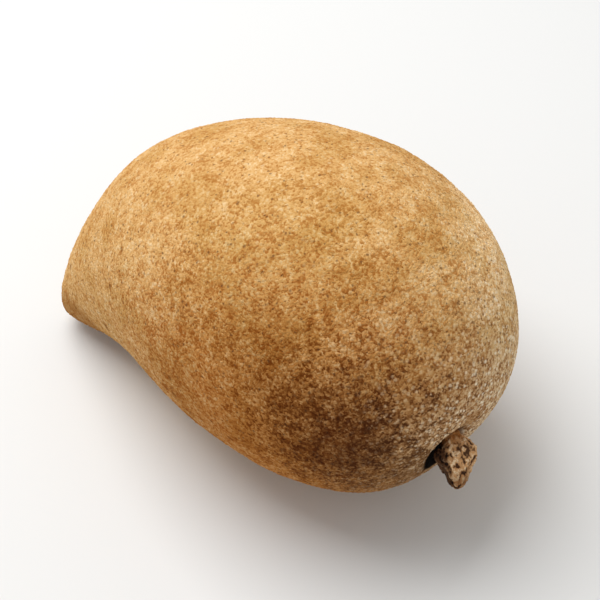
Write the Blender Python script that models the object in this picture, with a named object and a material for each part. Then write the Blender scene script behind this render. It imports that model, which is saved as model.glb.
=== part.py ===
"""A mamey sapote lying on its side, with the woody stub of its stem.

The fruit is an egg whose blossom end is drawn out into a blunt beak, bent toward the belly.
It lies with its long axis near X, the stem end at +X and the beak at -X, on a small flat spot
whose centre is the origin. Metres, +Z up.

Places on the skin are named by two angles in the fruit's own frame: how far round the long
axis from the ridge of the back, and how far off the stem end (0 is the stem end, 180 the other).
"""

from math import cos, exp, hypot, pi, radians, sin, tan

import bmesh
import bpy
from mathutils import Matrix, Vector, noise

# The egg: from its middle to each end, its half width, and how much fuller the stem end is
STEM_HALF = 0.0633
BEAK_HALF = 0.0858
HALF_WIDTH = 0.0507
FULLER_TO_STEM = 0.04

# The beak: its root on the belly side of the blossom end, and the way it is drawn out
BEAK_OFF_AXIS = 12.5
BEAK_LEAN = 66.5
BEAK_SPREAD = 51.5
BEAK_ROUNDING = 5
BEAK_BLUNTNESS = 1.2
BEAK_SHARPNESS = 2.4
BEAK_REACH = 0.0342

# Two broad swells, each as (round the axis, off the stem end), height and spread
BELLY_SWELL = (180, 51), 0.0032, 31
BACK_SWELL = (-30, 106), 0.0035, 39

# Low lumps all over the skin
LUMP_HEIGHT = 0.00035
LUMPS_PER_RADIUS = 2.6

# The stem's place, a broad dent round it, and the pit that it stands in
STEM_PLACE = (188, 23.5)
DENT = STEM_PLACE, -0.0024, 17
PIT_DEPTH = 0.0035
PIT_SPREAD = 7.5

# How the fruit lies: turned about its long axis, then its beak end let down
ROLL = 40
BEAK_DOWN = 8.4
FLAT_SPOT_DEPTH = 0.0006

# The stem's stub: a thin neck, a knob, then a taper to a blunt tip
STEM_LENGTH = 0.0163
KNOB_RADIUS = 0.0056
NECK_RADIUS = 0.0028
KNOB_AT = 0.38
TAPER_SHOULDER = 1.25
TIP_BLUNTNESS = 0.65
STEM_LEAN = 36
LEANS_TOWARD = (166, 57)
BEND_LENGTH = 0.006
FOOT_DOME = 0.0004
FOOT_GAP = 0.0003

# How far its foot stands off the middle of the pit: away from the lean, and level to it
FOOT_ASIDE = (0.0013, 0.0005)

# Its uneven girth: lobes round it, their share of the radius, how they wind up it, where they start
GNARLS = (2, 0.09, 5, 0.6), (3, 0.06, -7, 0), (5, 0.04, 11, 0)
GNARLS_FADE = 0.5

# Mesh fineness, and the angle past which an edge is sharp
SKIN_CELLS = 26
PIT_FINE_ANGLE = 20
STEM_RINGS = 24
STEM_SIDES = 28
SHARP_ANGLE = 40


def toward(around, off_stem):
    """Unit vector to a place on the skin, in the fruit's own frame, whose back is +Z."""
    around, off_stem = radians(around), radians(off_stem)
    return Vector((cos(off_stem), -sin(off_stem) * sin(around), sin(off_stem) * cos(around)))


def degrees_between(one, other):
    return one.angle(other) * 180 / pi


def lying():
    """The turn from the fruit's own frame to how it lies."""
    return Matrix.Rotation(radians(-BEAK_DOWN), 3, "Y") @ Matrix.Rotation(radians(-ROLL), 3, "X")


def beak(direction):
    """How far, and which way, the beak draws the skin out."""
    root = toward(180, 180 - BEAK_OFF_AXIS)
    off_tip = hypot(degrees_between(direction, root), BEAK_ROUNDING) - BEAK_ROUNDING
    away = min(1.0, off_tip / BEAK_SPREAD)
    return BEAK_REACH * (1 - away**BEAK_BLUNTNESS) ** BEAK_SHARPNESS * toward(180, 180 - BEAK_LEAN)


def swell(direction, place, height, spread):
    """A broad bump, or a dent where its height is negative, fading out over its spread in degrees."""
    centre = toward(*place)
    return height * exp(-((degrees_between(direction, centre) / spread) ** 2)) * centre


def pit(direction):
    """The pit of the stem, with a level floor and a soft rim."""
    centre = toward(*STEM_PLACE)
    return -PIT_DEPTH * exp(-((degrees_between(direction, centre) / PIT_SPREAD) ** 4)) * centre


def skin_point(direction):
    """Where the skin lies in this direction from the egg's middle, in the fruit's own frame."""
    half_length = STEM_HALF if direction.x > 0 else BEAK_HALF
    radius = HALF_WIDTH * (1 + FULLER_TO_STEM * direction.x)
    point = Vector((half_length * direction.x, radius * direction.y, radius * direction.z))
    point += beak(direction)
    point += swell(direction, *BELLY_SWELL)
    point += swell(direction, *BACK_SWELL)
    point += swell(direction, *DENT)
    point += LUMP_HEIGHT * noise.noise(direction * LUMPS_PER_RADIUS) * direction
    return point + pit(direction)


def material(name, colour, roughness):
    made = bpy.data.materials.new(name)
    made.use_nodes = True
    shader = made.node_tree.nodes["Principled BSDF"]
    shader.inputs["Base Color"].default_value = (*colour, 1)
    shader.inputs["Roughness"].default_value = roughness
    shader.inputs["Metallic"].default_value = 0
    return made


def named_object(name, bm, look):
    """A shaded-smooth object from a bmesh, with its flat faces kept sharp at their edge."""
    bmesh.ops.recalc_face_normals(bm, faces=bm.faces)
    mesh = bpy.data.meshes.new(name)
    bm.to_mesh(mesh)
    bm.free()
    mesh.shade_smooth()
    mesh.set_sharp_from_angle(angle=radians(SHARP_ANGLE))
    mesh.materials.append(look)
    made = bpy.data.objects.new(name, mesh)
    bpy.context.scene.collection.objects.link(made)
    return made


def sphere_of_cells(cells):
    """A unit sphere from a cube's grid, with cells of nearly equal size and no poles."""
    bm = bmesh.new()
    bmesh.ops.create_cube(bm, size=2)
    bmesh.ops.subdivide_edges(bm, edges=bm.edges, cuts=cells - 1, use_grid_fill=True)
    for vertex in bm.verts:
        vertex.co = Vector([tan(c * pi / 4) for c in vertex.co]).normalized()
    return bm


def halve_cells_near(bm, centre, angle):
    """Twice as many cells each way round one place of the unit sphere."""
    near = [f for f in bm.faces if degrees_between(f.calc_center_median(), centre) < angle]
    edges = {edge for face in near for edge in face.edges}
    bmesh.ops.subdivide_edges(bm, edges=list(edges), cuts=1, use_grid_fill=True)
    for vertex in bm.verts:
        vertex.co.normalize()


def fruit():
    """The whole fruit, one solid, cut level under its weight. Returns it and its move to the origin."""
    bm = sphere_of_cells(SKIN_CELLS)
    halve_cells_near(bm, toward(*STEM_PLACE), PIT_FINE_ANGLE)
    turn = lying()
    for vertex in bm.verts:
        vertex.co = turn @ skin_point(vertex.co)

    floor = min(vertex.co.z for vertex in bm.verts) + FLAT_SPOT_DEPTH
    every = [*bm.verts, *bm.edges, *bm.faces]
    bmesh.ops.bisect_plane(bm, geom=every, plane_co=(0, 0, floor), plane_no=(0, 0, -1), clear_outer=True)
    rim = [edge for edge in bm.edges if edge.is_boundary]
    spot = bmesh.ops.contextual_create(bm, geom=rim)["faces"][0]
    to_origin = -spot.calc_center_median_weighted()
    bmesh.ops.translate(bm, verts=bm.verts, vec=to_origin)
    for vertex in spot.verts:
        vertex.co.z = 0
    return named_object("fruit", bm, material("fruit_skin", (0.46, 0.27, 0.10), 0.85)), to_origin


def stem_radius(t):
    """The stub's radius at a share t of its length."""
    if t < KNOB_AT:
        rise = t / KNOB_AT
        return NECK_RADIUS + (KNOB_RADIUS - NECK_RADIUS) * rise * rise * (3 - 2 * rise)
    return KNOB_RADIUS * (1 - ((t - KNOB_AT) / (1 - KNOB_AT)) ** TAPER_SHOULDER) ** TIP_BLUNTNESS


def gnarl(angle, t):
    """The stub's uneven girth: a few lobes that wind up it, and none at its two ends."""
    lobes = sum(share * sin(count * angle + winding * t + start) for count, share, winding, start in GNARLS)
    return 1 + lobes * sin(pi * t) ** GNARLS_FADE


def stem(to_origin):
    """The woody stub. Its foot stands in the pit, and it leans over within its first few millimetres."""
    turn = lying()
    out_of_pit = turn @ toward(*STEM_PLACE)
    sideways = turn @ toward(*LEANS_TOWARD)
    sideways = (sideways - sideways.dot(out_of_pit) * out_of_pit).normalized()
    level = out_of_pit.cross(sideways)

    bm = bmesh.new()
    foot = bm.verts.new((0, 0, 0))
    centre = Vector((0, 0, FOOT_DOME))
    last = None
    for i in range(STEM_RINGS):
        t = sin(pi / 2 * i / STEM_RINGS)
        bend = min(1.0, t * STEM_LENGTH / BEND_LENGTH)
        lean = radians(STEM_LEAN) * bend * bend * (3 - 2 * bend)
        onward = Vector((sin(lean), 0, cos(lean)))
        across = Vector((cos(lean), 0, -sin(lean)))
        ring = []
        for j in range(STEM_SIDES):
            angle = 2 * pi * j / STEM_SIDES
            radius = stem_radius(t) * gnarl(angle, t)
            ring.append(bm.verts.new(centre + radius * (cos(angle) * across + sin(angle) * Vector((0, 1, 0)))))
        for j in range(STEM_SIDES):
            after = (j + 1) % STEM_SIDES
            if last is None:
                bm.faces.new((foot, ring[after], ring[j]))
            else:
                bm.faces.new((last[j], last[after], ring[after], ring[j]))
        last = ring
        centre = centre + (sin(pi / 2 * (i + 1) / STEM_RINGS) - t) * STEM_LENGTH * onward
    tip = bm.verts.new(centre)
    for j in range(STEM_SIDES):
        bm.faces.new((last[j], last[(j + 1) % STEM_SIDES], tip))

    made = named_object("stem", bm, material("stem_bark", (0.22, 0.13, 0.06), 0.9))
    frame = Matrix((sideways, level, out_of_pit)).transposed()
    made.rotation_euler = frame.to_euler()
    made.location = to_origin + turn @ skin_point(toward(*STEM_PLACE)) + FOOT_GAP * out_of_pit
    made.location += FOOT_ASIDE[1] * level - FOOT_ASIDE[0] * sideways
    return made


for old in list(bpy.data.objects):
    bpy.data.objects.remove(old)
_, fruit_to_origin = fruit()
stem(fruit_to_origin)
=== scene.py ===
from math import cos, pi, radians, sin, tan

import bmesh
import bpy
from mathutils import Matrix, Vector
from mathutils.bvhtree import BVHTree


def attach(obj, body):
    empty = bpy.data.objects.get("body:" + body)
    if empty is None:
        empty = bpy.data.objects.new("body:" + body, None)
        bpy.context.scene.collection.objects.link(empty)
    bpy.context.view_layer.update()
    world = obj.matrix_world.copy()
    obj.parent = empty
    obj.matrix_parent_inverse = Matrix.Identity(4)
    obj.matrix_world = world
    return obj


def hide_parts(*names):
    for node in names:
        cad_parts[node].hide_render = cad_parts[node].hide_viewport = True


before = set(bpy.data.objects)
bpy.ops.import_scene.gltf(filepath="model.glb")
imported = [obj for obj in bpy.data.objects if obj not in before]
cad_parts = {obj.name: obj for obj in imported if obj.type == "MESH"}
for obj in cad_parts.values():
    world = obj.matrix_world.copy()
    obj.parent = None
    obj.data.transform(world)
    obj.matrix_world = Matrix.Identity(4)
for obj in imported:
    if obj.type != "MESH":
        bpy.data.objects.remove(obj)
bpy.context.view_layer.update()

# The camera looks down at the lying fruit from the side of its stem end, which is at the lower
# right of the picture. It aims a little to the left of the fruit's middle, and a trace above it.
middle = Vector((0.0089, 0.0002, 0.0507))
round_from_front, above_table, camera_distance = radians(40.5), radians(48), 0.430
aim_left, aim_up = 0.00555, 0.0007

to_camera = Vector((sin(round_from_front) * cos(above_table),
                    -cos(round_from_front) * cos(above_table), sin(above_table)))
camera_right = Vector((cos(round_from_front), sin(round_from_front), 0))
camera_up = to_camera.cross(camera_right)
camera_place = (middle - aim_left * camera_right + aim_up * camera_up
                + camera_distance * to_camera)

camera = bpy.data.objects.new("camera", bpy.data.cameras.new("camera"))
camera.data.lens = 85
camera.data.sensor_width = 36
camera.data.clip_start = 0.01
camera_turn = Matrix((camera_right, camera_up, to_camera)).transposed().to_4x4()
camera.matrix_world = Matrix.Translation(camera_place) @ camera_turn
bpy.context.scene.collection.objects.link(camera)
bpy.context.scene.camera = camera


# The rind is the fruit's thin woody skin. It grows as one closed surface with slow swells in it,
# and sinks to a pit where the stalk holds on. Its outer cork cracks and rubs into a low relief.
def add(tree, kind, feeds=None, **settings):
    """Adds a node with its settings, and fills its sockets with plain values or other sockets."""
    made = tree.nodes.new(kind)
    for name, value in settings.items():
        setattr(made, name, value)
    for socket, value in (feeds or {}).items():
        if isinstance(value, bpy.types.NodeSocket):
            tree.links.new(value, made.inputs[socket])
        else:
            made.inputs[socket].default_value = value
    return made


def calc(tree, operation, *terms):
    """A Math node on these terms."""
    return add(tree, "ShaderNodeMath", dict(enumerate(terms)), operation=operation).outputs[0]


def total(tree, *parts):
    """Some values added up, each times its weight."""
    terms = [calc(tree, "MULTIPLY", value, weight) for value, weight in parts]
    result = terms[0]
    for term in terms[1:]:
        result = calc(tree, "ADD", result, term)
    return result


def swing(tree, value, size):
    """A value of 0 to 1 made one that swings about zero, over this size in all."""
    return calc(tree, "MULTIPLY", calc(tree, "SUBTRACT", value, 0.5), size)


def spread(tree, value, low, high, bottom=0.0, top=1.0):
    """Eases a value between two bounds from bottom to top."""
    return add(tree, "ShaderNodeMapRange", {0: value, 1: low, 2: high, 3: bottom, 4: top},
               interpolation_type="SMOOTHSTEP").outputs[0]


def space(tree, operation, one, other):
    """A Vector Math node. It gives a number for a distance or a dot product."""
    made = add(tree, "ShaderNodeVectorMath", {0: one, 1: other}, operation=operation)
    return made.outputs["Value" if operation in ("DISTANCE", "DOT_PRODUCT") else "Vector"]


def scaled(tree, vector, factor):
    """A vector made this many times as long."""
    return add(tree, "ShaderNodeVectorMath", {0: vector, "Scale": factor},
               operation="SCALE").outputs["Vector"]


def vary(tree, vector, size, detail=2.0, roughness=0.5, shift=0.0):
    """Cloudy noise whose blotches are about this many metres across."""
    if shift:
        vector = space(tree, "ADD", vector, (shift, shift, shift))
    linked = isinstance(size, bpy.types.NodeSocket)
    per_metre = calc(tree, "DIVIDE", 1.0, size) if linked else 1 / size
    return add(tree, "ShaderNodeTexNoise", {
        "Vector": vector, "Scale": per_metre, "Detail": detail,
        "Roughness": roughness}).outputs["Fac"]


def new_tree(name, kind, sockets_in, sockets_out):
    """An empty node group with named sockets. Returns it, its inputs and its output node."""
    tree = bpy.data.node_groups.new(name, kind)
    for label, sort in sockets_in.items():
        tree.interface.new_socket(label, in_out="INPUT", socket_type="NodeSocket" + sort)
    for label, sort in sockets_out.items():
        tree.interface.new_socket(label, in_out="OUTPUT", socket_type="NodeSocket" + sort)
    return tree, tree.nodes.new("NodeGroupInput").outputs, tree.nodes.new("NodeGroupOutput")


def raised(tree, surface, height):
    """A surface with each point moved this far along its normal."""
    lift = scaled(tree, add(tree, "GeometryNodeInputNormal").outputs[0], height)
    return add(tree, "GeometryNodeSetPosition", {"Geometry": surface, "Offset": lift}).outputs[0]


def hand_out(tree, shape, finish, result, smooth=True):
    """Shades a shape smooth or flat, makes it real and gives it its finish, as a tree's end."""
    shaded = add(tree, "GeometryNodeSetShadeSmooth", {0: shape, "Shade Smooth": smooth}).outputs[0]
    real = add(tree, "GeometryNodeRealizeInstances", {0: shaded}).outputs[0]
    looked = add(tree, "GeometryNodeSetMaterial", {"Geometry": real, "Material": finish})
    tree.links.new(looked.outputs[0], result.inputs[0])


# Bounds between which a scab rises to its middle, and between which scabs come up at all
scab_edge, scab_patches, scab_patch_size = (0.62, 0.15), (0.38, 0.6), 0.011
touching_table = 0.0003


def rind_relief():
    """Subdivides the net and raises low lumps and scabs of cork on it, fading where it rests."""
    tree, given, result = new_tree("rind_relief", "GeometryNodeTree", {
        "Geometry": "Geometry", "Lump Size": "Float", "Lump Height": "Float",
        "Scab Size": "Float", "Scab Height": "Float", "Rest Height": "Float",
        "Finish": "Material"}, {"Geometry": "Geometry"})
    fine = add(tree, "GeometryNodeSubdivisionSurface", {
        "Mesh": given["Geometry"], "Level": 2}).outputs[0]
    place = add(tree, "GeometryNodeInputPosition").outputs[0]
    lumps = vary(tree, place, given["Lump Size"], detail=3.0)
    lumps = swing(tree, lumps, given["Lump Height"])
    cells = add(tree, "ShaderNodeTexVoronoi", {
        "Vector": place, "Scale": calc(tree, "DIVIDE", 1.0, given["Scab Size"])},
        feature="SMOOTH_F1").outputs["Distance"]
    patches = spread(tree, vary(tree, place, scab_patch_size), *scab_patches)
    scabs = calc(tree, "MULTIPLY", spread(tree, cells, *scab_edge), patches)
    scabs = calc(tree, "MULTIPLY", scabs, given["Scab Height"])
    z = add(tree, "ShaderNodeSeparateXYZ", {0: place}).outputs["Z"]
    clear = spread(tree, z, touching_table, given["Rest Height"])
    height = calc(tree, "MULTIPLY", calc(tree, "ADD", lumps, scabs), clear)
    hand_out(tree, raised(tree, fine, height), given["Finish"], result)
    return tree


def grown(name, start, tree, values):
    """Runs a node tree on a mesh and keeps what it makes as a plain mesh, at the origin."""
    holder = bpy.data.objects.new(name + "_start", start)
    bpy.context.scene.collection.objects.link(holder)
    modifier = holder.modifiers.new("grow", "NODES")
    modifier.node_group = tree
    for socket in tree.interface.items_tree:
        if socket.in_out == "INPUT" and socket.name in values:
            modifier[socket.identifier] = values[socket.name]
    seen = bpy.context.evaluated_depsgraph_get()
    mesh = bpy.data.meshes.new_from_object(
        holder.evaluated_get(seen), preserve_all_data_layers=True, depsgraph=seen)
    bpy.data.objects.remove(holder)
    mesh.name = name
    made = bpy.data.objects.new(name, mesh)
    bpy.context.scene.collection.objects.link(made)
    return made


# Bounds between which blotches and grains pass from dark to pale, and a dot from its rim to its
# full colour, how far the rims of dots wander, and what each adds to the height
blotch_bounds, grain_bounds, dot_rim = (0.36, 0.64), (0.3, 0.7), (0.62, 0.25)
dots_wander = 0.0004
grain_rise, flake_rise, speck_rise = 0.6, 0.4, -0.5


def scurf_texture():
    """Blotches, grains, pale flakes and dark specks of a dry, scurfy surface, and their height."""
    tree, given, result = new_tree("scurf_texture", "ShaderNodeTree", {
        "Vector": "Vector", "Blotch Size": "Float", "Grain Size": "Float",
        "Flake Size": "Float", "Flake Share": "Float", "Speck Share": "Float"},
        dict.fromkeys(("Blotch", "Grain", "Flake", "Speck", "Height"), "Float"))
    blotch = vary(tree, given["Vector"], given["Blotch Size"], detail=4.0, roughness=0.6)
    blotch = spread(tree, blotch, *blotch_bounds)
    grain = vary(tree, given["Vector"], given["Grain Size"], detail=3.0, roughness=0.65,
                 shift=0.3)
    grain = spread(tree, grain, *grain_bounds)

    def scattered(size, share, shift):
        """Soft dots, one in each cell, of which only this share is kept."""
        vector = space(tree, "ADD", given["Vector"], (shift, -shift, shift))
        per_metre = calc(tree, "DIVIDE", 1.0, size)
        warp = add(tree, "ShaderNodeTexNoise", {"Vector": vector, "Scale": per_metre})
        moved = space(tree, "ADD", vector, scaled(tree, warp.outputs["Color"], dots_wander))
        cells = add(tree, "ShaderNodeTexVoronoi", {"Vector": moved, "Scale": per_metre}).outputs
        chance = add(tree, "ShaderNodeSeparateColor", {0: cells["Color"]}).outputs[0]
        kept = calc(tree, "LESS_THAN", chance, share)
        return calc(tree, "MULTIPLY", spread(tree, cells["Distance"], *dot_rim), kept)

    flake = scattered(given["Flake Size"], given["Flake Share"], shift=0.11)
    speck = scattered(given["Grain Size"], given["Speck Share"], shift=0.37)
    height = total(tree, (grain, grain_rise), (flake, flake_rise), (speck, speck_rise))
    for label, value in dict(Blotch=blotch, Grain=grain, Flake=flake, Speck=speck,
                             Height=height).items():
        tree.links.new(value, result.inputs[label])
    return tree


def mix(tree, share, one, other, blend="MIX"):
    """One colour passing to another by a share. Inputs 6 and 7 and output 2 are the colours."""
    made = add(tree, "ShaderNodeMix", {0: share}, data_type="RGBA", blend_type=blend)
    for socket, colour in ((made.inputs[6], one), (made.inputs[7], other)):
        if isinstance(colour, bpy.types.NodeSocket):
            tree.links.new(colour, socket)
        else:
            socket.default_value = (*colour, 1)
    return made.outputs[2]


def new_finish(name, settings):
    """A material with plain settings. Returns it, its nodes and the sockets of its shader."""
    finish = bpy.data.materials.new(name)
    finish.use_nodes = True
    shader = finish.node_tree.nodes["Principled BSDF"].inputs
    for socket, value in settings.items():
        shader[socket].default_value = value
    return finish, finish.node_tree, shader


def roughened(tree, shader, colour, height, depth):
    """Gives a shader its colour, and a fine relief of this depth in metres."""
    relief = add(tree, "ShaderNodeBump", {"Height": height, "Distance": depth, "Strength": 1.0})
    tree.links.new(colour, shader["Base Color"])
    tree.links.new(relief.outputs[0], shader["Normal"])


# The skin's own colours, and the bounds of its shade between which each passes to the next
orange_brown, golden_tan = (0.475, 0.218, 0.060), (0.66, 0.393, 0.152)
pale_flake = (0.77, 0.58, 0.34)
brown_to_golden, golden_to_pale, most_pale, flake_strength = (0.15, 0.6), (0.6, 0.95), 0.7, 0.5
dark_speck, speck_strength = (0.145, 0.066, 0.027), 0.68
blotch_size, flake_dot_size = 0.0045, 0.0012
blotch_in_shade, grain_in_shade = 0.28, 0.72

# The weathered skin toward the stem: brown and rust under tan, and under beige where it is palest,
# with a calmer brown on the low side of the pit. How much of it is dotted and specked rises there.
weathered_brown, weathered_rust = (0.12, 0.052, 0.024), (0.42, 0.21, 0.082)
weathered_tan, weathered_beige = (0.64, 0.385, 0.18), (0.81, 0.63, 0.40)
tan_dot, cream_dot = (0.97, 0.74, 0.46), (1.0, 0.93, 0.75)
brown_to_rust, rust_to_pale = (0.22, 0.46), (0.48, 0.82)
blotch_in_speckle, grain_in_speckle, paler_in_speckle = 0.22, 0.78, 0.15
pale_way, pale_bounds = Vector((0.894, 0.377, -0.243)), (0.030, 0.060)
calm_way, calm_bounds, most_calm = Vector((0.164, 0.704, 0.691)), (0.004, -0.014), 0.7
calm_brown = (0.185, 0.092, 0.036)
worn_bounds, worn_edge, most_worn = (0.052, 0.010), 0.010, 0.9
speckled_bounds, flake_shares, speck_shares = (0.060, 0.025), (0.08, 0.32), (0.07, 0.22)

# Broad tints: slow mottling, browner skin on the belly deepened by painted shade where it turns
# from the light, a painted sheen that makes the far side of the stem end paler and greyer, two
# deeper places on the golden side and a dark patch near the stem, also browner skin deepened by
# painted shade. Most have edges that wander a little.
mottle_size, mottle_bounds, mottle_tint = 0.015, (0.42, 0.64), (0.88, 0.83, 0.71)
belly_way, belly_bounds = Vector((0.393, -0.919, 0)), (0.009, 0.060)
belly_brown_and_shade = (0.695, 0.450, 0.235)
far_way, far_bounds, far_side_sheen = Vector((0.72, 0.65, 0.24)), (0.042, 0.056), (1.36, 1.60, 2.15)
deeper_places = (((0.0142, -0.0303, 0.0918), (0.036, 0.018), (0.92, 0.90, 0.81)),
                 ((0.0282, -0.0433, 0.0742), (0.024, 0.006), (0.85, 0.84, 0.82)))
patch_middle, patch_bounds = (0.0447, -0.0318, 0.0555), (0.0344, 0.004)
patch_brown_and_shade = (0.33, 0.25, 0.23)
tint_edge = 0.022

# Small dark scars, where the skin was rubbed or stung as it grew: their middles and radii
scars = (((-0.0720, -0.0291, 0.0347), 0.0018), ((-0.0383, -0.0342, 0.0689), 0.0011),
         ((-0.0405, -0.0389, 0.0555), 0.0012), ((-0.0468, -0.0379, 0.0314), 0.0028),
         ((-0.0053, -0.0490, 0.0416), 0.0015), ((-0.0058, -0.0494, 0.0491), 0.0013),
         ((0.0173, -0.0494, 0.0402), 0.0014))
scar_core, scar_tint = 0.0002, (0.52, 0.42, 0.34)

# Painted shade on the low corner of the beak, where it turns from the light, and a browner spot
# above the stem;
# then the pit, darkened with painted shade, whose middle lies a little beside the stem's foot, and
# a near-black painted shadow in the gap between its rim and the stem
beak_shade_and_stem_spot = (((-0.066, -0.030, 0.010), (0.0185, 0.0108), (0.66, 0.55, 0.43)),
           ((0.0703, -0.0062, 0.0499), (0.0078, 0.0025), (0.70, 0.56, 0.42)))
stem_points = [Vector(v.co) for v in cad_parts["stem"].data.vertices]
stem_foot = min(stem_points, key=lambda point: (point - middle).length)
stem_tip = max(stem_points, key=lambda point: (point - middle).length)
pit_beside = Vector((0.0004, 0.0014, 0.0002))
pit_middle, pit_bounds = stem_foot - pit_beside, (0.0080, 0.0050)
gap_middle, gap_bounds = (0.0637, -0.0139, 0.0368), (0.0061, 0.0043)
pit_painted_shade, gap_painted_shadow = (0.13, 0.060, 0.026), (0.004, 0.002, 0.001)

scurf = scurf_texture()


def skin_finish(name, tone_share, grain_size, relief_depth):
    """The dry skin: golden where the scurf is thin, weathered and speckled toward the stem."""
    finish, tree, shader = new_finish(name, {"Roughness": 0.85, "IOR": 1.1})
    place = add(tree, "ShaderNodeTexCoord").outputs["Object"]
    off_pit = space(tree, "DISTANCE", place, pit_middle)
    surface = add(tree, "ShaderNodeGroup", {
        "Vector": place, "Blotch Size": blotch_size, "Grain Size": grain_size,
        "Flake Size": flake_dot_size,
        "Flake Share": spread(tree, off_pit, *speckled_bounds, *flake_shares),
        "Speck Share": spread(tree, off_pit, *speckled_bounds, *speck_shares)},
        node_tree=scurf).outputs

    def reach(way):
        """How far a point lies from the fruit's middle along this way."""
        return space(tree, "DOT_PRODUCT", space(tree, "SUBTRACT", place, middle), way)

    def tinted(colour, share, tint):
        return mix(tree, share, colour, tint, "MULTIPLY")

    grain = surface["Grain"]
    if tone_share:
        tone = add(tree, "ShaderNodeAttribute", attribute_name="tone").outputs["Fac"]
        grain = total(tree, (grain, 1 - tone_share), (tone, tone_share))
    shade = total(tree, (surface["Blotch"], blotch_in_shade), (grain, grain_in_shade))
    colour = mix(tree, spread(tree, shade, *brown_to_golden), orange_brown, golden_tan)
    colour = mix(tree, spread(tree, shade, *golden_to_pale, 0.0, most_pale), colour, pale_flake)
    flakes_shown = calc(tree, "MULTIPLY", surface["Flake"], flake_strength)
    colour = mix(tree, flakes_shown, colour, pale_flake)

    mottle = vary(tree, place, mottle_size, shift=0.7)
    colour = tinted(colour, spread(tree, mottle, *mottle_bounds), mottle_tint)
    for scar, radius in scars:
        off_scar = space(tree, "DISTANCE", place, scar)
        colour = tinted(colour, spread(tree, off_scar, radius, scar_core), scar_tint)
    uneven = swing(tree, shade, tint_edge)
    # Browner skin on the belly, deepened with painted shade where it turns from the light
    on_belly = calc(tree, "SUBTRACT", reach(belly_way), uneven)
    colour = tinted(colour, spread(tree, on_belly, *belly_bounds), belly_brown_and_shade)
    # A painted sheen, pale and grey, on the far side of the stem end
    colour = tinted(colour, spread(tree, reach(far_way), *far_bounds), far_side_sheen)
    for deeper, bounds, tint in deeper_places:
        off_deeper = calc(tree, "ADD", space(tree, "DISTANCE", place, deeper), uneven)
        colour = tinted(colour, spread(tree, off_deeper, *bounds), tint)

    paler = spread(tree, reach(pale_way), *pale_bounds)
    speckle = total(tree, (surface["Blotch"], blotch_in_speckle), (grain, grain_in_speckle),
                    (paler, paler_in_speckle))
    worn = mix(tree, spread(tree, speckle, *brown_to_rust), weathered_brown, weathered_rust)
    worn = mix(tree, spread(tree, speckle, *rust_to_pale), worn,
               mix(tree, paler, weathered_tan, weathered_beige))
    worn = mix(tree, surface["Flake"], worn, mix(tree, paler, tan_dot, cream_dot))
    on_calm = calc(tree, "ADD", reach(calm_way), uneven)
    worn = mix(tree, spread(tree, on_calm, *calm_bounds, 0.0, most_calm), worn, calm_brown)
    ragged = calc(tree, "ADD", off_pit, swing(tree, surface["Blotch"], worn_edge))
    colour = mix(tree, spread(tree, ragged, *worn_bounds, 0.0, most_worn), colour, worn)
    specks_shown = calc(tree, "MULTIPLY", surface["Speck"], speck_strength)
    colour = mix(tree, specks_shown, colour, dark_speck)

    # A dark patch near the stem: browner skin deepened with painted shade
    off_patch = calc(tree, "ADD", space(tree, "DISTANCE", place, patch_middle), uneven)
    colour = tinted(colour, spread(tree, off_patch, *patch_bounds), patch_brown_and_shade)
    # Painted shade on the beak's low corner, and a browner spot above the stem
    for darker_place, bounds, tint in beak_shade_and_stem_spot:
        off_darker_place = space(tree, "DISTANCE", place, darker_place)
        colour = tinted(colour, spread(tree, off_darker_place, *bounds), tint)
    # Painted shade in the pit, and a near-black painted shadow in the gap beside the stem
    colour = mix(tree, spread(tree, off_pit, *pit_bounds), colour, pit_painted_shade)
    off_gap = space(tree, "DISTANCE", place, gap_middle)
    colour = mix(tree, spread(tree, off_gap, *gap_bounds), colour, gap_painted_shadow)
    roughened(tree, shader, colour, surface["Height"], relief_depth)
    return finish


def laid_net(skin, near, cells, gather):
    """A closed net with four-sided meshes, drawn closer round one place, laid on the skin."""
    too_close_to_turn = 0.001
    net = bmesh.new()
    bmesh.ops.create_cube(net, size=2)
    bmesh.ops.subdivide_edges(net, edges=net.edges, cuts=cells - 1, use_grid_fill=True)
    for knot in net.verts:
        way = Vector([tan(c * pi / 4) for c in knot.co]).normalized()
        off = near.angle(way)
        if too_close_to_turn < off < pi - too_close_to_turn:
            way = Matrix.Rotation(pi * (off / pi) ** gather, 3, near.cross(way)) @ near
        knot.co = skin.ray_cast(middle, way)[0]
    bmesh.ops.recalc_face_normals(net, faces=net.faces)
    mesh = bpy.data.meshes.new("net")
    net.to_mesh(mesh)
    net.free()
    return mesh


def merged(node):
    """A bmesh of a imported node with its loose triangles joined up."""
    made = bmesh.new()
    made.from_mesh(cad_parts[node].data)
    bmesh.ops.remove_doubles(made, verts=made.verts, dist=1e-6)
    return made


packed_fruit = merged("fruit")
net = laid_net(BVHTree.FromBMesh(packed_fruit), (stem_foot - middle).normalized(),
               cells=32, gather=1.25)
packed_fruit.free()
rind = grown("rind", net, rind_relief(), {
    "Lump Size": 0.007, "Lump Height": 0.0006, "Scab Size": 0.0022, "Scab Height": 0.00008,
    "Rest Height": 0.003,
    "Finish": skin_finish("rind_cork", tone_share=0, grain_size=0.0010, relief_depth=0.00014)})
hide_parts("fruit")
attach(rind, "root")


# The scurf is dead cork that has broken into dry, flat-faced flakes of a millimetre or so, which
# lie on the rind, each a little paler or browner than the next. It thins out toward the beak, and
# there is none in the pit or where the fruit rests.

# How far off the beak's tip the flakes are fewest and are in full, and the share of them there
beak_fewest, beak_full, share_on_beak = 0.012, 0.045, 0.25
flake_least, flake_most = (0.6, 0.5, 0.6), (1.6, 1.1, 1.4)
tone_seed = 77


def dice(tree, low, high, seed):
    """A random number, or a random vector, between two bounds."""
    if isinstance(low, tuple):
        return add(tree, "FunctionNodeRandomValue", {0: low, 1: high, "Seed": seed},
                   data_type="FLOAT_VECTOR").outputs[0]
    return add(tree, "FunctionNodeRandomValue", {2: low, 3: high, "Seed": seed},
               data_type="FLOAT").outputs[1]


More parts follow.
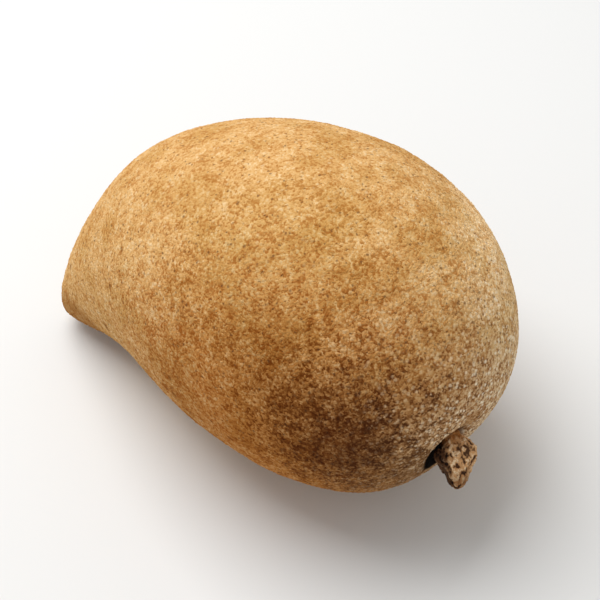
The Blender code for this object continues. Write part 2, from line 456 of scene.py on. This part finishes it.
def scattered_flakes():
    """Strews flat flakes over a surface, each turned, sized and toned at random."""
    tree, given, result = new_tree("scattered_flakes", "GeometryNodeTree", {
        "Geometry": "Geometry", "Flakes per Area": "Float", "Width": "Float",
        "Thickness": "Float", "Stem Foot": "Vector", "Bare Radius": "Float",
        "Beak Tip": "Vector", "Rest Height": "Float", "Seed": "Int", "Finish": "Material"},
        {"Geometry": "Geometry"})
    place = add(tree, "GeometryNodeInputPosition").outputs[0]
    z = add(tree, "ShaderNodeSeparateXYZ", {0: place}).outputs["Z"]
    off_stem = space(tree, "DISTANCE", place, given["Stem Foot"])
    off_beak = space(tree, "DISTANCE", place, given["Beak Tip"])
    growing = calc(tree, "MULTIPLY", calc(tree, "GREATER_THAN", z, given["Rest Height"]),
                   calc(tree, "GREATER_THAN", off_stem, given["Bare Radius"]))
    growing = calc(tree, "MULTIPLY", growing,
                   spread(tree, off_beak, beak_fewest, beak_full, share_on_beak, 1.0))
    points = add(tree, "GeometryNodeDistributePointsOnFaces", {
        "Mesh": given["Geometry"], "Seed": given["Seed"],
        "Density": calc(tree, "MULTIPLY", growing, given["Flakes per Area"])},
        distribute_method="RANDOM").outputs
    spin = add(tree, "FunctionNodeAxisAngleToRotation", {
        "Axis": (0, 0, 1), "Angle": dice(tree, 0.0, 2 * pi, given["Seed"])}).outputs[0]
    turned = add(tree, "FunctionNodeRotateRotation", {0: points["Rotation"], 1: spin},
                 rotation_space="LOCAL").outputs[0]
    full = add(tree, "ShaderNodeCombineXYZ", {
        0: given["Width"], 1: given["Width"], 2: given["Thickness"]}).outputs[0]
    size = space(tree, "MULTIPLY", dice(tree, flake_least, flake_most, given["Seed"]), full)
    flake = add(tree, "GeometryNodeMeshUVSphere", {
        "Segments": 5, "Rings": 2, "Radius": 0.5}).outputs[0]
    strewn = add(tree, "GeometryNodeInstanceOnPoints", {
        "Points": points["Points"], "Instance": flake, "Rotation": turned,
        "Scale": size}).outputs[0]
    toned = add(tree, "GeometryNodeStoreNamedAttribute", {
        "Geometry": strewn, "Name": "tone", "Value": dice(tree, 0.0, 1.0, tone_seed)},
        data_type="FLOAT", domain="INSTANCE").outputs[0]
    hand_out(tree, toned, given["Finish"], result, smooth=False)
    return tree


beak_tip = min((v.co for v in rind.data.vertices), key=lambda point: point.x)
flakes = scattered_flakes()
flake_finish = skin_finish("scurf_flake", tone_share=0.7, grain_size=0.0009,
                           relief_depth=0.00008)
for name, width, thickness, seed in (("scurf_broad", 0.0014, 0.00036, 3),
                                     ("scurf_small", 0.0011, 0.00032, 8),
                                     ("scurf_fine", 0.0008, 0.00026, 21)):
    piece = grown(name, rind.data.copy(), flakes, {
        "Flakes per Area": 4.1e5, "Width": width, "Thickness": thickness,
        "Stem Foot": pit_middle, "Bare Radius": 0.0065, "Beak Tip": beak_tip,
        "Rest Height": 0.0008, "Seed": seed, "Finish": flake_finish})
    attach(piece, "root")


# The stem is the stub of the stalk, left on when the fruit is cut. It is hard, gnarled wood under
# a rough bark, whose ridges weather pale while the cracks between them stay dark. Its colour also
# adds painted highlight on the ridges and painted shade in the cracks.
ridge_bounds, ridge_stretch = (0.3, 0.7), -0.3


def bark_relief():
    """Subdivides the stub, raises ridges and knots on it and stores how high each point is."""
    tree, given, result = new_tree("bark_relief", "GeometryNodeTree", {
        "Geometry": "Geometry", "Along": "Vector", "Ridge Size": "Float",
        "Ridge Height": "Float", "Knot Size": "Float", "Knot Height": "Float",
        "Finish": "Material"}, {"Geometry": "Geometry"})
    fine = add(tree, "GeometryNodeSubdivisionSurface", {
        "Mesh": given["Geometry"], "Level": 3}).outputs[0]
    place = add(tree, "GeometryNodeInputPosition").outputs[0]
    run = space(tree, "DOT_PRODUCT", place, given["Along"])
    shrink = scaled(tree, given["Along"], calc(tree, "MULTIPLY", run, ridge_stretch))
    stretched = space(tree, "ADD", place, shrink)
    ridges = vary(tree, stretched, given["Ridge Size"], detail=3.0, roughness=0.55)
    ridges = spread(tree, ridges, *ridge_bounds)
    knots = vary(tree, place, given["Knot Size"], shift=0.2)
    height = calc(tree, "ADD", swing(tree, ridges, given["Ridge Height"]),
                  swing(tree, knots, given["Knot Height"]))
    marked = add(tree, "GeometryNodeStoreNamedAttribute", {
        "Geometry": raised(tree, fine, height), "Name": "ridge", "Value": ridges},
        data_type="FLOAT", domain="POINT").outputs[0]
    hand_out(tree, marked, given["Finish"], result)
    return tree


# Its colours by how high the ridge stands, pale on ridges and dark in cracks, partly the bark's
# own colour and partly painted highlight and painted shade, with orange-brown cork at its foot, a
# darker tip and a nearly black painted shade on the flank that leans over the gap
crack_brown_and_shade, bark_brown = (0.09, 0.038, 0.016), (0.66, 0.36, 0.155)
ridge_beige_and_highlight = (0.93, 0.71, 0.45)
crack_to_bark, bark_to_beige, beige_grain = (0.15, 0.48), (0.5, 0.84), (0.1, 0.6)
bark_speck_strength = 0.7
foot_cork, foot_bounds, foot_edge, most_cork = (0.60, 0.25, 0.065), (0.0072, 0.0045), 0.0015, 0.85
tip_tint, tip_bounds = (0.50, 0.42, 0.35), (0.0078, 0.0028)
leaned_to, flank_painted_shade = Vector((-0.69, -0.69, -0.21)), (0.15, 0.11, 0.09)
shaded_flank_bounds, shaded_flank_edge = (-0.0007, 0.0013), 0.002


def bark_finish():
    """Weathered bark: pale ridges with painted highlight, dark cracks with painted shade,
    orange-brown cork at its foot and a flank in painted shade.
    """
    finish, tree, shader = new_finish(
        "stem_bark_weathered", {"Roughness": 0.9, "Specular IOR Level": 0.2})
    place = add(tree, "ShaderNodeTexCoord").outputs["Object"]
    surface = add(tree, "ShaderNodeGroup", {
        "Vector": place, "Blotch Size": 0.003, "Grain Size": 0.0007, "Flake Size": 0.0014,
        "Flake Share": 0.35, "Speck Share": 0.15}, node_tree=scurf).outputs
    ridge = add(tree, "ShaderNodeAttribute", attribute_name="ridge").outputs["Fac"]
    # Pale ridges and dark cracks: the bark's own colour, with painted highlight on the ridges and
    # painted shade in the cracks
    colour = mix(tree, spread(tree, ridge, *crack_to_bark), crack_brown_and_shade, bark_brown)
    pale = calc(tree, "MULTIPLY", spread(tree, ridge, *bark_to_beige),
                spread(tree, surface["Grain"], *beige_grain))
    colour = mix(tree, pale, colour, ridge_beige_and_highlight)
    specks_shown = calc(tree, "MULTIPLY", surface["Speck"], bark_speck_strength)
    colour = mix(tree, specks_shown, colour, crack_brown_and_shade)
    off_foot = calc(tree, "ADD", space(tree, "DISTANCE", place, stem_foot),
                    calc(tree, "MULTIPLY", ridge, foot_edge))
    colour = mix(tree, spread(tree, off_foot, *foot_bounds, 0.0, most_cork), colour, foot_cork)
    off_tip = space(tree, "DISTANCE", place, stem_tip)
    colour = mix(tree, spread(tree, off_tip, *tip_bounds), colour, tip_tint, "MULTIPLY")
    # Painted shade, nearly black, on the flank that leans over the gap
    off_axis = space(tree, "SUBTRACT", place, (stem_foot + stem_tip) / 2)
    leaned = calc(tree, "SUBTRACT", space(tree, "DOT_PRODUCT", off_axis, leaned_to),
                  calc(tree, "MULTIPLY", ridge, shaded_flank_edge))
    colour = mix(tree, spread(tree, leaned, *shaded_flank_bounds), colour, flank_painted_shade, "MULTIPLY")
    roughened(tree, shader, colour, surface["Height"], depth=0.0002)
    return finish


stub = merged("stem")
square_enough = radians(60)
bmesh.ops.join_triangles(stub, faces=stub.faces, angle_face_threshold=square_enough,
                         angle_shape_threshold=square_enough)
stub_mesh = bpy.data.meshes.new("stub")
stub.to_mesh(stub_mesh)
stub.free()
bark = grown("stem_stub", stub_mesh, bark_relief(), {
    "Along": (stem_tip - stem_foot).normalized(), "Ridge Size": 0.0016,
    "Ridge Height": 0.0009, "Knot Size": 0.0035, "Knot Height": 0.0013,
    "Finish": bark_finish()})
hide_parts("stem")
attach(bark, "root")


# A plain pale table under the fruit, a broad soft light from the upper left, and light all round.
# None of this is part of the fruit.
def pale_floor(half):
    """A square of pale paper, this far from its middle to its sides."""
    mesh = bpy.data.meshes.new("floor")
    corners = [(-half, -half, 0), (half, -half, 0), (half, half, 0), (-half, half, 0)]
    mesh.from_pydata(corners, [], [(0, 1, 2, 3)])
    mesh.materials.append(new_finish(
        "floor_paper", {"Base Color": (0.76, 0.76, 0.75, 1), "Roughness": 0.9})[0])
    made = bpy.data.objects.new("floor", mesh)
    bpy.context.scene.collection.objects.link(made)
    return made


def soft_light(name, way, distance, size, power):
    """A square soft light that stands this way from the fruit and faces it."""
    made = bpy.data.objects.new(name, bpy.data.lights.new(name, "AREA"))
    made.data.size = size
    made.data.energy = power
    made.location = middle + distance * Vector(way).normalized()
    made.rotation_euler = Vector(way).to_track_quat("Z", "Y").to_euler()
    bpy.context.scene.collection.objects.link(made)


pale_floor(half=3.0)
soft_light("overhead", (-0.42, -0.02, 0.91), distance=1.0, size=0.8, power=10.2)
room = bpy.data.worlds.new("room")
room.use_nodes = True
room.node_tree.nodes["Background"].inputs["Color"].default_value = (1, 1, 1, 1)
room.node_tree.nodes["Background"].inputs["Strength"].default_value = 0.52
bpy.context.scene.world = room
bpy.context.scene.view_settings.view_transform = "Standard"
